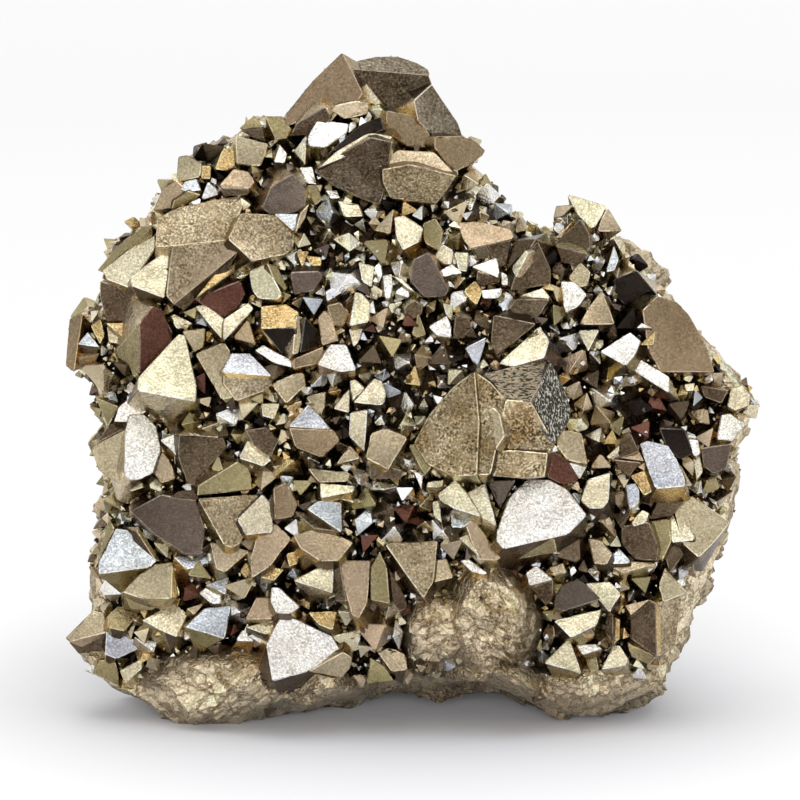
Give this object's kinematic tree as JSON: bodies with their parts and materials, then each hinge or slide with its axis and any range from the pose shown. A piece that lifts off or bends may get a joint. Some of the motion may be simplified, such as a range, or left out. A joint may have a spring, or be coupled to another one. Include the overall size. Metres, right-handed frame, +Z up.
{
  "type": "pyrite specimen",
  "caption": "Hand specimen of octahedral pyrite crystals grown together over a base of massive pyrite, standing on two flat feet.",
  "frame": {"origin": "middle of the bounding box in plan, on the plane of the feet", "axes": "+X to the right along the width, +Y from the crystal front to the back, +Z up"},
  "size_m": [0.1106, 0.057, 0.1071],
  "materials": {
    "pyrite": "metallic, pitted and lightly tarnished"
  },
  "bodies": {
    "root": {"pyrite_cluster": "pyrite"}
  },
  "joints": []
}
